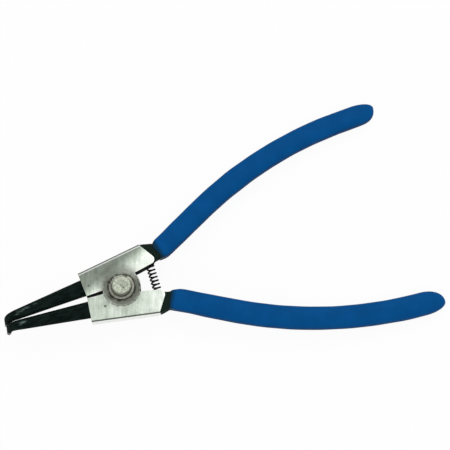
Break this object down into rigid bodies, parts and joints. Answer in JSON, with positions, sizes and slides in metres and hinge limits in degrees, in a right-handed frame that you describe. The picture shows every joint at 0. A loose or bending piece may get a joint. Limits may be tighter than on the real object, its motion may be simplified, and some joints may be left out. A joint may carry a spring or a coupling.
{
  "type": "bent external circlip pliers",
  "caption": "Spring-loaded pliers with bent pin tips that spread outside circlips when the two bowed, dip-coated handles are squeezed on a riveted lap joint.",
  "frame": {"origin": "on the pivot axis, at the flat of the rivet's closed head", "axes": "+Z out of the rivet head along the pivot axis, +X from the tips towards the handles along the centre line, +Y towards the upper lever; the bent tips point to -Z"},
  "size_m": [0.1838, 0.0994, 0.0184],
  "materials": {
    "lever_steel": "black phosphate on jaws and necks, joint faces ground bright",
    "rivet_steel": "bare steel, peened and buffed",
    "spring_steel": "oil-blackened wire",
    "dipped_vinyl": "smooth semi-matte dipped vinyl, dark blue"
  },
  "bodies": {
    "lower": {"lower_lever": "lever_steel", "lower_grip": "dipped_vinyl", "pivot_rivet": "rivet_steel", "rivet_washer": "rivet_steel", "return_spring": "spring_steel"},
    "upper": {"upper_lever": "lever_steel", "upper_grip": "dipped_vinyl"}
  },
  "joints": [
    {"name": "squeeze", "type": "hinge", "parent": "lower", "child": "upper", "pos_m": [0, 0, 0], "axis": [0, 0, 1], "range_deg": [-25, 0], "stiffness_Nm_per_rad": 0.16, "springref_deg": 22.92, "deforming": ["return_spring"]}
  ]
}
